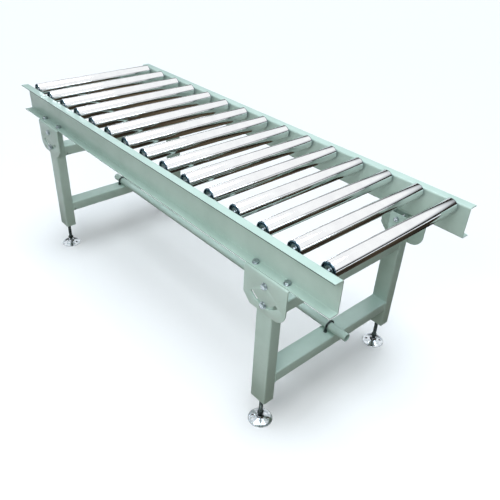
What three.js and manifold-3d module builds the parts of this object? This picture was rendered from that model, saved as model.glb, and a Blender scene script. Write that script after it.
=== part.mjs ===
// Gravity roller conveyor, in millimetres, +Z up.
// X runs along the conveyor, Y across it, and the origin is on the floor under the middle of the bed.
// Free-running rollers turn on fixed axles between two channel rails. The rails stand on two H-shaped
// stands, which swing on pivot bolts in slotted brackets and are tied together by a round tube.
import * as THREE from 'three';
import { mergeVertices } from 'three/addons/utils/BufferGeometryUtils.js';
import Module from 'manifold-3d';

const wasm = await Module();
wasm.setup();

// Driving dimensions: the bed
const ROLLER_COUNT = 15;
const ROLLER_PITCH = 140;
const ROLLER_DIAMETER = 57;
const ROLLER_WALL = 1.6;
const ROLLER_RISE = 14;
const CARRYING_HEIGHT = 830;
const RAIL_SPACING = 672;
const RAIL_HEIGHT = 125;
const RAIL_FLANGE = 38;
const RAIL_THICKNESS = 4;
const RAIL_BEND = 7;
const RAIL_OVERHANG = 70;

// Driving dimensions: roller ends and axles
const ROLLER_END_GAP = 12;
const CUP_LIP = 2.6;
const CUP_RECESS = 4;
const CUP_DEPTH = 9;
const AXLE_FLATS = 11;
const AXLE_STICK_OUT = 8;

// Driving dimensions: the stands
const STAND_INSET = 265;
const LEG_WIDTH = 75;
const LEG_DEPTH = 50;
const TUBE_WALL = 3;
const LEG_BOTTOM = 125;
const LEG_ABOVE_PIVOT = 23;
const END_PLATE = 5;
const CROSSBAR_HEIGHT = 50;
const LOWER_CROSSBAR_RISE = 85;
const UPPER_CROSSBAR_DROP = 75;
const VENT_HOLE = 8;
const VENT_INSET = 9;

// Driving dimensions: brackets and their bolts
const BRACKET_WIDTH = 200;
const BRACKET_THICKNESS = 5;
const BRACKET_REACH = 34;
const PIVOT_DROP = 38;
const BRACKET_SIDE_DROP = 43;
const SLOT_RADIUS = 77;
const SLOT_HALF_ANGLE = 46;
const BOLT_DIAMETER = 12;
const HEAD_FLATS = 19;
const HEAD_HEIGHT = 7.5;
const NUT_HEIGHT = 10;
const BOLT_TAIL = 3;
const WASHER_DIAMETER = 26;
const WASHER_THICKNESS = 2.5;

// Driving dimensions: tie tube and U-bolts
const TIE_DIAMETER = 34;
const TIE_WALL = 3;
const TIE_FRONT_REACH = 90;
const TIE_BACK_REACH = 62;
const TIE_LIFT = 3;
const SADDLE_WIDTH = 10;
const U_ROD = 8;
const U_NUT_FLATS = 13;
const U_NUT_HEIGHT = 6.5;

// Driving dimensions: levelling feet
const PAD_DIAMETER = 95;
const PAD_RIM = 3;
const PAD_DOME = 12;
const PAD_HUB_DIAMETER = 31;
const PAD_HEIGHT = 22;
const BALL_DIAMETER = 16;
const BALL_HEIGHT = 13;
const NECK_DIAMETER = 10;
const STUD_DIAMETER = 16;
const STUD_HEX_FLATS = 22;
const STUD_HEX_HEIGHT = 12;
const STUD_HEX_RISE = 8;
const STUD_IN_LEG = 62;

// Clearances
const SEAT_GAP = 0.3;
const RUNNING_GAP = 0.3;
const SWING_GAP = 0.5;
const NECK_CLEARANCE = 2;
const SOCKET_GAP = 0.8;

// Facets round a circle
const ROLLER_FACETS = 14;
const ROUND_FACETS = 10;
const ARC_STEPS = 10;
const BEND_STEPS = 3;
const FOOT_FACETS = 14;
const BALL_STEPS = 4;

// Places worked out from the sizes above
const RAIL_LENGTH = (ROLLER_COUNT - 1) * ROLLER_PITCH + 2 * RAIL_OVERHANG;
const RAIL_TOP = CARRYING_HEIGHT - ROLLER_RISE;
const RAIL_BOTTOM = RAIL_TOP - RAIL_HEIGHT;
const ROLLER_AXIS = CARRYING_HEIGHT - ROLLER_DIAMETER / 2;
const ROLLER_LENGTH = RAIL_SPACING - 2 * ROLLER_END_GAP;
const FLANGE_EDGE = RAIL_SPACING / 2 + RAIL_FLANGE;
const STAND_X = RAIL_LENGTH / 2 - STAND_INSET;
const PIVOT_HEIGHT = RAIL_BOTTOM - PIVOT_DROP;
const LEG_OUTER = FLANGE_EDGE;
const LEG_INNER = LEG_OUTER - LEG_DEPTH;
const LEG_MIDDLE = LEG_OUTER - LEG_DEPTH / 2;
const LEG_TOP = PIVOT_HEIGHT + LEG_ABOVE_PIVOT;
const PLATE_INNER = LEG_OUTER + SEAT_GAP;
const PLATE_OUTER = PLATE_INNER + BRACKET_THICKNESS;
const BRACKET_ARC = Math.hypot(BRACKET_WIDTH / 2, BRACKET_SIDE_DROP);
const LOWER_CROSSBAR = LEG_BOTTOM + LOWER_CROSSBAR_RISE;
const LOWER_CROSSBAR_TOP = LOWER_CROSSBAR + CROSSBAR_HEIGHT;
const UPPER_CROSSBAR = PIVOT_HEIGHT - UPPER_CROSSBAR_DROP - CROSSBAR_HEIGHT;
const TIE_AXIS = LOWER_CROSSBAR_TOP + TIE_LIFT + TIE_DIAMETER / 2;
const U_RADIUS = TIE_DIAMETER / 2 + SWING_GAP + U_ROD / 2;

// Finishes
const GREEN_PAINT = { color: 0x9fb8a8, roughness: 0.45, metalness: 0.1 };
const CHROME = { color: 0xd9dde0, roughness: 0.12, metalness: 1 };
const ZINC = { color: 0xb9bfc2, roughness: 0.35, metalness: 1 };
const DARK_STEEL = { color: 0x3c4244, roughness: 0.5, metalness: 0.9 };

const conveyor = new THREE.Group();

// ---- Helpers -------------------------------------------------------------------------------------

// Turns a closed three.js geometry into a solid that can be cut and joined.
function solid(geometry) {
  const bare = geometry.clone();
  bare.deleteAttribute('normal');
  bare.deleteAttribute('uv');
  const merged = mergeVertices(bare, 1e-4);
  const mesh = new wasm.Mesh({
    numProp: 3,
    vertProperties: new Float32Array(merged.attributes.position.array),
    triVerts: new Uint32Array(merged.index.array),
  });
  return new wasm.Manifold(mesh);
}

// Turns a solid back into a geometry.
function geometryOf(body) {
  const mesh = body.getMesh();
  const geometry = new THREE.BufferGeometry();
  geometry.setAttribute('position', new THREE.BufferAttribute(mesh.vertProperties, 3));
  geometry.setIndex(new THREE.BufferAttribute(mesh.triVerts, 1));
  geometry.computeVertexNormals();
  return geometry;
}

// Adds one named piece to the conveyor.
function addPiece(name, body, finish) {
  const geometry = body.isBufferGeometry ? body : geometryOf(body);
  const mesh = new THREE.Mesh(geometry, new THREE.MeshStandardMaterial(finish));
  mesh.name = name;
  conveyor.add(mesh);
  return mesh;
}

// An outline and its holes as plain points, with the doubled points where two curves meet left out.
function plainOutline(outline, arcSteps) {
  const tidy = (points) => points.filter((point, index) => {
    const next = points[(index + 1) % points.length];
    return point.distanceTo(next) > 1e-3;
  });
  const { shape, holes } = outline.extractPoints(arcSteps);
  const plain = new THREE.Shape(tidy(shape));
  plain.holes = holes.map((hole) => new THREE.Path(tidy(hole)));
  return plain;
}

// An outline drawn in (Y, Z), extruded along X from x0 to x1.
function extrudeX(outline, x0, x1, arcSteps) {
  const plain = plainOutline(outline, arcSteps);
  const geometry = new THREE.ExtrudeGeometry(plain, { depth: x1 - x0, bevelEnabled: false });
  const turn = new THREE.Matrix4().makeBasis(
    new THREE.Vector3(0, 1, 0),
    new THREE.Vector3(0, 0, 1),
    new THREE.Vector3(1, 0, 0),
  );
  return geometry.applyMatrix4(turn).translate(x0, 0, 0);
}

// An outline drawn in (X, Z), extruded along Y from y0 to y1.
function extrudeY(outline, y0, y1, arcSteps) {
  const plain = plainOutline(outline, arcSteps);
  const geometry = new THREE.ExtrudeGeometry(plain, { depth: y1 - y0, bevelEnabled: false });
  const turn = new THREE.Matrix4().makeBasis(
    new THREE.Vector3(1, 0, 0),
    new THREE.Vector3(0, 0, 1),
    new THREE.Vector3(0, -1, 0),
  );
  return geometry.applyMatrix4(turn).translate(0, y1, 0);
}

// A box between two corners.
function box(x0, x1, y0, y1, z0, z1) {
  const geometry = new THREE.BoxGeometry(x1 - x0, y1 - y0, z1 - z0);
  return solid(geometry.translate((x0 + x1) / 2, (y0 + y1) / 2, (z0 + z1) / 2));
}

// A round bar along X, between two X values.
function barX(radius, facets, y, z, x0, x1) {
  const geometry = new THREE.CylinderGeometry(radius, radius, x1 - x0, facets);
  return solid(geometry.rotateZ(Math.PI / 2).translate((x0 + x1) / 2, y, z));
}

// A round or many-sided bar along Y, between two Y values.
function barY(radius, facets, x, z, yA, yB) {
  const geometry = new THREE.CylinderGeometry(radius, radius, Math.abs(yB - yA), facets);
  return solid(geometry.translate(x, (yA + yB) / 2, z));
}

// A round or many-sided bar along Z, between two Z values.
function barZ(radius, facets, x, y, z0, z1) {
  const geometry = new THREE.CylinderGeometry(radius, radius, z1 - z0, facets);
  return solid(geometry.rotateX(Math.PI / 2).translate(x, y, (z0 + z1) / 2));
}

// The corner radius of a hexagon measured across its flats.
function hexRadius(flats) {
  return flats / Math.sqrt(3);
}

// Joins any number of solids into one.
function join(...bodies) {
  return bodies.reduce((total, body) => total.add(body));
}

// ---- Rails: folded channels, web inside and both flanges pointing outward ------------------------

function channelOutline(side) {
  const inner = side * RAIL_SPACING / 2;
  const at = (outward) => inner + side * outward;
  const innerBend = RAIL_BEND - RAIL_THICKNESS;
  const outline = new THREE.Shape();
  const top = RAIL_TOP;
  const low = RAIL_BOTTOM;
  outline.moveTo(at(RAIL_FLANGE), low);
  outline.lineTo(at(RAIL_BEND), low);
  outline.quadraticCurveTo(at(0), low, at(0), low + RAIL_BEND);
  outline.lineTo(at(0), top - RAIL_BEND);
  outline.quadraticCurveTo(at(0), top, at(RAIL_BEND), top);
  outline.lineTo(at(RAIL_FLANGE), top);
  outline.lineTo(at(RAIL_FLANGE), top - RAIL_THICKNESS);
  outline.lineTo(at(RAIL_THICKNESS + innerBend), top - RAIL_THICKNESS);
  outline.quadraticCurveTo(
    at(RAIL_THICKNESS), top - RAIL_THICKNESS, at(RAIL_THICKNESS), top - RAIL_BEND);
  outline.lineTo(at(RAIL_THICKNESS), low + RAIL_BEND);
  outline.quadraticCurveTo(
    at(RAIL_THICKNESS), low + RAIL_THICKNESS, at(RAIL_THICKNESS + innerBend), low + RAIL_THICKNESS);
  outline.lineTo(at(RAIL_FLANGE), low + RAIL_THICKNESS);
  return outline;
}

function rollerX(index) {
  return (index - (ROLLER_COUNT - 1) / 2) * ROLLER_PITCH;
}

// Each rail has a row of hexagonal holes that hold the axle ends.
function makeRail(side) {
  let rail = solid(extrudeX(channelOutline(side), -RAIL_LENGTH / 2, RAIL_LENGTH / 2, BEND_STEPS));
  const web = side * RAIL_SPACING / 2;
  const holeRadius = hexRadius(AXLE_FLATS + 2 * SEAT_GAP);
  for (let index = 0; index < ROLLER_COUNT; index += 1) {
    const punch = barY(holeRadius, 6, rollerX(index), ROLLER_AXIS, web - side, web + side * (RAIL_THICKNESS + 1));
    rail = rail.subtract(punch);
  }
  return rail;
}

// ---- Rollers and axles ---------------------------------------------------------------------------

// A tube with a recessed bearing cup in each end, turned about Y.
function makeRoller() {
  const end = ROLLER_LENGTH / 2;
  const bore = (hexRadius(AXLE_FLATS) + RUNNING_GAP) / Math.cos(Math.PI / ROLLER_FACETS);
  const outer = ROLLER_DIAMETER / 2;
  const cup = end - CUP_RECESS;
  const upperEnd = [
    [outer, end],
    [outer - CUP_LIP, end],
    [outer - CUP_LIP, cup],
    [bore, cup],
    [bore, cup - CUP_DEPTH],
    [outer - ROLLER_WALL, cup - CUP_DEPTH],
  ];
  const lowerEnd = upperEnd.map(([r, y]) => [r, -y]).reverse();
  const profile = [...upperEnd, ...lowerEnd, upperEnd[0]].map(([r, y]) => new THREE.Vector2(r, y));
  return new THREE.LatheGeometry(profile, ROLLER_FACETS);
}

// A hexagonal bar through both webs. The bearings at the roller's ends turn on its corners.
function makeAxle() {
  const end = RAIL_SPACING / 2 + RAIL_THICKNESS + AXLE_STICK_OUT;
  return barY(hexRadius(AXLE_FLATS), 6, 0, 0, -end, end);
}

// ---- Stands: two rectangular tube legs with an upper and a lower crossbar ------------------------

// The pivot bolt's holes go through both walls of a leg, the lock bolt's through the outer wall only.
function legHoles(x, side) {
  const holeRadius = BOLT_DIAMETER / 2 + SEAT_GAP;
  const outside = side * (LEG_OUTER + 1);
  const inside = side * (LEG_INNER - 1);
  const hollow = side * (LEG_OUTER - 2 * TUBE_WALL);
  return join(
    barY(holeRadius, ROUND_FACETS, x, PIVOT_HEIGHT, inside, outside),
    barY(holeRadius, ROUND_FACETS, x, PIVOT_HEIGHT - SLOT_RADIUS, hollow, outside),
  );
}

function makeLeg(x, side) {
  const y0 = Math.min(side * LEG_OUTER, side * LEG_INNER);
  const y1 = y0 + LEG_DEPTH;
  const x0 = x - LEG_WIDTH / 2;
  const x1 = x + LEG_WIDTH / 2;
  const outside = box(x0, x1, y0, y1, LEG_BOTTOM, LEG_TOP);
  const inside = box(
    x0 + TUBE_WALL, x1 - TUBE_WALL, y0 + TUBE_WALL, y1 - TUBE_WALL, LEG_BOTTOM + END_PLATE, LEG_TOP + 1);
  const studHole = barZ(STUD_DIAMETER / 2 + RUNNING_GAP, ROUND_FACETS, x, side * LEG_MIDDLE,
    LEG_BOTTOM - 1, LEG_BOTTOM + END_PLATE + 1);
  return outside.subtract(inside).subtract(studHole);
}

// A crossbar between the legs, hollow, with a vent hole near each end on the side facing the middle.
function makeCrossbar(x, bottom) {
  const x0 = x - LEG_WIDTH / 2;
  const x1 = x + LEG_WIDTH / 2;
  const top = bottom + CROSSBAR_HEIGHT;
  const reach = LEG_INNER + TUBE_WALL / 2;
  const hollow = LEG_INNER;
  const inward = x > 0 ? -1 : 1;
  const face = x + inward * LEG_WIDTH / 2;
  let bar = box(x0, x1, -reach, reach, bottom, top).subtract(
    box(x0 + TUBE_WALL, x1 - TUBE_WALL, -hollow, hollow, bottom + TUBE_WALL, top - TUBE_WALL));
  for (const side of [-1, 1]) {
    const vent = barX(VENT_HOLE / 2, ROUND_FACETS, side * (LEG_INNER - VENT_INSET), bottom + VENT_INSET,
      face - 2 * TUBE_WALL, face + 2 * TUBE_WALL);
    bar = bar.subtract(vent);
  }
  return bar;
}

// The lower crossbar carries a saddle strip and two holes for the U-bolt.
function makeStand(x) {
  const saddleTop = TIE_AXIS - TIE_DIAMETER / 2 - SWING_GAP;
  const saddleHalf = U_RADIUS - U_NUT_FLATS / 2 - 2;
  let stand = join(
    makeLeg(x, -1),
    makeLeg(x, 1),
    makeCrossbar(x, LOWER_CROSSBAR),
    makeCrossbar(x, UPPER_CROSSBAR),
    box(x - SADDLE_WIDTH / 2, x + SADDLE_WIDTH / 2, -saddleHalf, saddleHalf,
      LOWER_CROSSBAR_TOP - TUBE_WALL / 2, saddleTop),
  );
  for (const side of [-1, 1]) {
    const hole = barZ(U_ROD / 2 + SEAT_GAP, ROUND_FACETS, x, side * U_RADIUS,
      LOWER_CROSSBAR - 1, LOWER_CROSSBAR_TOP + 1);
    stand = stand.subtract(hole).subtract(legHoles(x, side));
  }
  return stand;
}

// ---- Brackets: angles bolted under the rails, with a pivot hole and an arc slot -------------------

function arcSlot() {
  const half = BOLT_DIAMETER / 2 + SEAT_GAP;
  const down = -Math.PI / 2;
  const swing = THREE.MathUtils.degToRad(SLOT_HALF_ANGLE);
  const slot = new THREE.Path();
  slot.absarc(0, 0, SLOT_RADIUS + half, down - swing, down + swing, false);
  const endX = SLOT_RADIUS * Math.cos(down + swing);
  const endZ = SLOT_RADIUS * Math.sin(down + swing);
  slot.absarc(endX, endZ, half, down + swing, down + swing + Math.PI, false);
  slot.absarc(0, 0, SLOT_RADIUS - half, down + swing, down - swing, true);
  slot.absarc(-endX, endZ, half, down - swing + Math.PI, down - swing + 2 * Math.PI, false);
  return slot;
}

// The plate is drawn about the pivot: straight sides, and a round lower edge about the same point.
function makeBracket(x, side) {
  const halfWidth = BRACKET_WIDTH / 2;
  const top = PIVOT_DROP - SEAT_GAP;
  const corner = Math.atan2(BRACKET_SIDE_DROP, halfWidth);
  const plate = new THREE.Shape();
  plate.moveTo(-halfWidth, top);
  plate.lineTo(-halfWidth, -BRACKET_SIDE_DROP);
  plate.absarc(0, 0, BRACKET_ARC, -Math.PI + corner, -corner, false);
  plate.lineTo(halfWidth, top);
  plate.holes.push(arcSlot());
  const y0 = Math.min(side * PLATE_INNER, side * PLATE_OUTER);
  const y1 = y0 + BRACKET_THICKNESS;
  const upright = solid(extrudeY(plate, y0, y1, ARC_STEPS / 2).translate(x, 0, PIVOT_HEIGHT));
  const pivotHole = barY(BOLT_DIAMETER / 2 + SEAT_GAP, ROUND_FACETS, x, PIVOT_HEIGHT, y0 - 1, y1 + 1);
  const flangeTop = RAIL_BOTTOM - SEAT_GAP;
  const edge = PLATE_OUTER - BRACKET_THICKNESS / 2;
  const inner = PLATE_INNER - BRACKET_REACH;
  const flange = box(x - halfWidth, x + halfWidth, Math.min(side * inner, side * edge),
    Math.max(side * inner, side * edge), flangeTop - BRACKET_THICKNESS, flangeTop);
  return join(upright.subtract(pivotHole), flange);
}

// ---- Bolts through the bracket and the leg: head and washer outside, nut inside -------------------

// The nut bears on the side of nutFace that looks at the middle of the conveyor.
function makeStandBolt(x, z, side, nutFace) {
  const plate = PLATE_OUTER + SEAT_GAP;
  const washerTop = plate + WASHER_THICKNESS;
  const nutTop = nutFace - SEAT_GAP;
  const tail = nutTop - NUT_HEIGHT - BOLT_TAIL;
  const hex = hexRadius(HEAD_FLATS);
  return join(
    barY(BOLT_DIAMETER / 2, ROUND_FACETS, x, z, side * tail, side * washerTop),
    barY(WASHER_DIAMETER / 2, ROUND_FACETS, x, z, side * plate, side * washerTop),
    barY(hex, 6, x, z, side * washerTop, side * (washerTop + HEAD_HEIGHT)),
    barY(hex, 6, x, z, side * (nutTop - NUT_HEIGHT), side * nutTop),
  );
}

// ---- Tie tube and U-bolts ------------------------------------------------------------------------

function makeTieTube() {
  const x0 = -STAND_X - TIE_BACK_REACH;
  const x1 = STAND_X + TIE_FRONT_REACH;
  const outside = barX(TIE_DIAMETER / 2, ROLLER_FACETS, 0, TIE_AXIS, x0, x1);
  return outside.subtract(barX(TIE_DIAMETER / 2 - TIE_WALL, ROLLER_FACETS, 0, TIE_AXIS, x0 - 1, x1 + 1));
}

// The centre line of a U-bolt: up one side of the tube, half a circle over it and down the other side.
// It has one step for each straight end and ARC_STEPS for the bend.
class UBoltLine extends THREE.Curve {
  constructor(x, foot) {
    super();
    this.x = x;
    this.foot = foot;
  }

  getPoint(t, target = new THREE.Vector3()) {
    const step = t * (ARC_STEPS + 2) - 1;
    const bendShare = THREE.MathUtils.clamp(step / ARC_STEPS, 0, 1);
    const past = Math.max(-step, step - ARC_STEPS, 0);
    const angle = Math.PI * (1 - bendShare);
    const z = TIE_AXIS + U_RADIUS * Math.sin(angle) - past * (TIE_AXIS - this.foot);
    return target.set(this.x, U_RADIUS * Math.cos(angle), z);
  }

  getPointAt(t, target) {
    return this.getPoint(t, target);
  }

  getTangentAt(t, target) {
    return this.getTangent(t, target);
  }
}

// A round rod bent over the tube, down through the crossbar, with nuts above and below it.
function makeUBolt(x) {
  const above = LOWER_CROSSBAR_TOP + SEAT_GAP;
  const below = LOWER_CROSSBAR - SEAT_GAP;
  const foot = below - U_NUT_HEIGHT - BOLT_TAIL;
  const section = new THREE.Shape();
  section.absarc(0, 0, U_ROD / 2, 0, 2 * Math.PI, false);
  const rod = new THREE.ExtrudeGeometry(section, {
    steps: ARC_STEPS + 2,
    curveSegments: ROUND_FACETS / 2,
    extrudePath: new UBoltLine(x, foot),
  });
  const pieces = [solid(rod)];
  for (const side of [-1, 1]) {
    const y = side * U_RADIUS;
    pieces.push(barZ(hexRadius(U_NUT_FLATS), 6, x, y, above, above + U_NUT_HEIGHT));
    pieces.push(barZ(hexRadius(U_NUT_FLATS), 6, x, y, below - U_NUT_HEIGHT, below));
  }
  return join(...pieces);
}

// ---- Levelling feet: a dished pad on a ball-ended stud --------------------------------------------

// Profile points are (radius, height), turned about Z.
function turn(profile, facets, x, y) {
  const points = profile.map(([r, z]) => new THREE.Vector2(r, z));
  return new THREE.LatheGeometry(points, facets).rotateX(Math.PI / 2).translate(x, y, 0);
}

// Points on a circle about the ball's centre. A point straight below the centre is on the axis.
function ballArc(radius, fromAngle, toAngle) {
  const points = [];
  for (let step = 0; step <= BALL_STEPS; step += 1) {
    const angle = fromAngle + (toAngle - fromAngle) * step / BALL_STEPS;
    const across = angle === -Math.PI / 2 ? 0 : radius * Math.cos(angle);
    points.push([across, BALL_HEIGHT + radius * Math.sin(angle)]);
  }
  return points;
}

// The socket holds the ball past its widest line, and its mouth clears the neck when the pad tilts.
function makePad(x, y) {
  const rim = PAD_DIAMETER / 2;
  const hub = PAD_HUB_DIAMETER / 2;
  const socket = BALL_DIAMETER / 2 + SOCKET_GAP;
  const mouth = NECK_DIAMETER / 2 + NECK_CLEARANCE;
  const mouthAngle = Math.acos(mouth / socket);
  const profile = [
    [0, 0],
    [rim, 0],
    [rim, PAD_RIM],
    [hub, PAD_DOME],
    [hub - 2, PAD_HEIGHT],
    [mouth + 1, PAD_HEIGHT],
    ...ballArc(socket, mouthAngle, -Math.PI / 2),
  ];
  return turn(profile, FOOT_FACETS, x, y);
}

function makeStud(x, y) {
  const ball = BALL_DIAMETER / 2;
  const neck = NECK_DIAMETER / 2;
  const hexBottom = PAD_HEIGHT + STUD_HEX_RISE;
  const top = LEG_BOTTOM + STUD_IN_LEG;
  const neckAngle = Math.acos(neck / ball);
  const profile = [
    ...ballArc(ball, -Math.PI / 2, neckAngle),
    [neck, hexBottom + 1],
    [STUD_DIAMETER / 2, hexBottom + 1],
    [STUD_DIAMETER / 2, top],
    [0, top],
  ];
  const hex = barZ(hexRadius(STUD_HEX_FLATS), 6, x, y, hexBottom, hexBottom + STUD_HEX_HEIGHT);
  return join(solid(turn(profile, ROUND_FACETS, x, y)), hex);
}

// ---- The whole conveyor --------------------------------------------------------------------------

addPiece('rail_near', makeRail(-1), GREEN_PAINT);
addPiece('rail_far', makeRail(1), GREEN_PAINT);

const rollerGeometry = makeRoller();
const axleGeometry = geometryOf(makeAxle());
for (let index = 0; index < ROLLER_COUNT; index += 1) {
  const number = String(index + 1).padStart(2, '0');
  const roller = addPiece(`roller_${number}`, rollerGeometry, CHROME);
  const axle = addPiece(`axle_${number}`, axleGeometry, ZINC);
  roller.position.set(rollerX(index), 0, ROLLER_AXIS);
  axle.position.set(rollerX(index), 0, ROLLER_AXIS);
}

for (const [place, x] of [['front', STAND_X], ['back', -STAND_X]]) {
  addPiece(`stand_${place}`, makeStand(x), GREEN_PAINT);
  addPiece(`u_bolt_${place}`, makeUBolt(x), DARK_STEEL);
  for (const [edge, side] of [['near', -1], ['far', 1]]) {
    const corner = `${place}_${edge}`;
    const footY = side * LEG_MIDDLE;
    addPiece(`bracket_${corner}`, makeBracket(x, side), GREEN_PAINT);
    addPiece(`pivot_bolt_${corner}`, makeStandBolt(x, PIVOT_HEIGHT, side, LEG_INNER), ZINC);
    const lockBolt = makeStandBolt(x, PIVOT_HEIGHT - SLOT_RADIUS, side, LEG_OUTER - TUBE_WALL);
    addPiece(`lock_bolt_${corner}`, lockBolt, ZINC);
    addPiece(`foot_stud_${corner}`, makeStud(x, footY), DARK_STEEL);
    addPiece(`foot_pad_${corner}`, makePad(x, footY), CHROME);
  }
}

addPiece('tie_tube', makeTieTube(), GREEN_PAINT);

export default conveyor;
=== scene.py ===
import math

import bmesh
import bpy
from mathutils import Matrix, Vector


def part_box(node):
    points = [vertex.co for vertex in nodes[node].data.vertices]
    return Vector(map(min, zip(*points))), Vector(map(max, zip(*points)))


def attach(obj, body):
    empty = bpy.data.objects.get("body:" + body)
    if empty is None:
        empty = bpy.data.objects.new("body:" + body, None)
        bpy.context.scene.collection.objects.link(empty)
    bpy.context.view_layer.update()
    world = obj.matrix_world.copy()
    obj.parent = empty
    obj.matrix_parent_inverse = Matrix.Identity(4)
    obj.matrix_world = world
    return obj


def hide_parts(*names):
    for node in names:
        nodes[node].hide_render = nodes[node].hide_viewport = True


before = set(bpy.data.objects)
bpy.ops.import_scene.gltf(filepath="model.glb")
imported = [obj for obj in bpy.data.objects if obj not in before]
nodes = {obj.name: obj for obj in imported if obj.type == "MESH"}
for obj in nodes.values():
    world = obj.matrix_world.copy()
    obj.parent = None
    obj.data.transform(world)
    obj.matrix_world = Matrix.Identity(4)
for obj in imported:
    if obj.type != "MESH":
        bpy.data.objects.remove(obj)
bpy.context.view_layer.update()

# ---- Studio ------------------------------------------------------------------------------------------
# A pale floor, a broad soft lamp over the bed, a weaker one from the near side and an even white room.
# In reflections the room's walls are dark low down, which helps to draw the dark lines along the tube.


def mm(value):
    return value / 1000


def linear(hex_colour):
    """An sRGB hex colour as linear RGBA."""
    channels = [int(hex_colour[i:i + 2], 16) / 255 for i in (1, 3, 5)]
    return [c / 12.92 if c <= 0.04045 else ((c + 0.055) / 1.055) ** 2.4 for c in channels] + [1.0]


def add(tree, kind, inputs=None, **settings):
    """Adds a node. An input is a plain value, or another node's output to link from."""
    node = tree.nodes.new(kind)
    for name, value in settings.items():
        setattr(node, name, value)
    for name, value in (inputs or {}).items():
        if isinstance(value, bpy.types.NodeSocket):
            tree.links.new(value, node.inputs[name])
        else:
            node.inputs[name].default_value = value
    return node


def ramp(tree, factor, *stops):
    """A colour ramp through (position, colour) stops."""
    node = add(tree, "ShaderNodeValToRGB", {"Fac": factor})
    elements = node.color_ramp.elements
    elements.remove(elements[1])
    elements[0].position, elements[0].color = stops[0]
    for position, colour in stops[1:]:
        elements.new(position).color = colour
    return node.outputs["Color"]


def in_reflections(tree, rays):
    """One on rays that a surface mirrors or lets through, and nought on all others."""
    return add(tree, "ShaderNodeMath", {0: rays.outputs["Is Glossy Ray"],
                                        1: rays.outputs["Is Transmission Ray"]}, operation="MAXIMUM")


def new_material(name):
    material = bpy.data.materials.new(name)
    material.use_nodes = True
    material.node_tree.nodes.clear()
    return material


scene = bpy.context.scene
scene.view_settings.view_transform = "Standard"

lens_data = bpy.data.cameras.new("camera")
lens_data.sensor_width = 36
lens_data.lens = 39.73
camera = bpy.data.objects.new("camera", lens_data)
camera_right = Vector((0.6598, 0.7500, 0.0470))
camera_up = Vector((-0.4417, 0.3364, 0.8317))
camera_back = Vector((0.6079, -0.5695, 0.5532))
turned = Matrix((camera_right, camera_up, camera_back)).transposed().to_4x4()
camera.matrix_world = Matrix.Translation((1.7698, -1.3746, 1.7175)) @ turned
scene.collection.objects.link(camera)
scene.camera = camera

# Floor: pale studio paper. It is seen and mirrored as white, darker only where the part shades it, and
# the light that it throws up on the part is low and warm, as from a wooden workshop floor.
paper = new_material("pale_studio_paper")
tree = paper.node_tree
rays = add(tree, "ShaderNodeLightPath")
mirrored = in_reflections(tree, rays)
shown = add(tree, "ShaderNodeMath", {0: rays.outputs["Is Camera Ray"], 1: mirrored.outputs[0]},
            operation="MAXIMUM")
grain = add(tree, "ShaderNodeTexNoise", {"Scale": 1 / mm(4), "Detail": 3.0})
tone = ramp(tree, grain.outputs["Fac"], (0.3, linear("#8C8276")), (0.7, linear("#968C80")))
seen_tone = add(tree, "ShaderNodeMix", {"Factor": shown.outputs[0], 6: tone, 7: linear("#FFFFFF")},
                data_type="RGBA")
sheet = add(tree, "ShaderNodeBsdfDiffuse", {"Color": seen_tone.outputs[2]})
add(tree, "ShaderNodeOutputMaterial", {"Surface": sheet.outputs[0]})

FLOOR_REACH = 14.0
CARD_LIFT = mm(1)
floor_mesh = bpy.data.meshes.new("floor")
corners = [(x * FLOOR_REACH, y * FLOOR_REACH, 0) for x, y in ((-1, -1), (1, -1), (1, 1), (-1, 1))]
floor_mesh.from_pydata(corners, [], [(0, 1, 2, 3)])
floor_mesh.materials.append(paper)
floor = bpy.data.objects.new("floor", floor_mesh)
scene.collection.objects.link(floor)

# A dark card lies under the part and behind it, and shows only in reflections. It draws the dark lines
# along the rollers and leaves the near side's bolts and bearing cups bright.
velvet = new_material("dark_brown_velvet_card")
tree = velvet.node_tree
nap = add(tree, "ShaderNodeTexNoise", {"Scale": 1 / mm(260), "Detail": 3.0})
tone = ramp(tree, nap.outputs["Fac"], (0.35, linear("#1C1916")), (0.65, linear("#6A5B48")))
cloth = add(tree, "ShaderNodeBsdfDiffuse", {"Color": tone})
add(tree, "ShaderNodeOutputMaterial", {"Surface": cloth.outputs[0]})

CARD_REACH = 5.0
CARD_NEAR_EDGE = -0.45
card_mesh = bpy.data.meshes.new("floor_card")
corners = [(-CARD_REACH, CARD_NEAR_EDGE, CARD_LIFT), (CARD_REACH, CARD_NEAR_EDGE, CARD_LIFT),
           (CARD_REACH, CARD_REACH, CARD_LIFT), (-CARD_REACH, CARD_REACH, CARD_LIFT)]
card_mesh.from_pydata(corners, [], [(0, 1, 2, 3)])
card_mesh.materials.append(velvet)
card = bpy.data.objects.new("floor_card", card_mesh)
card.visible_camera = False
card.visible_diffuse = False
card.visible_shadow = False
scene.collection.objects.link(card)

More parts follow.
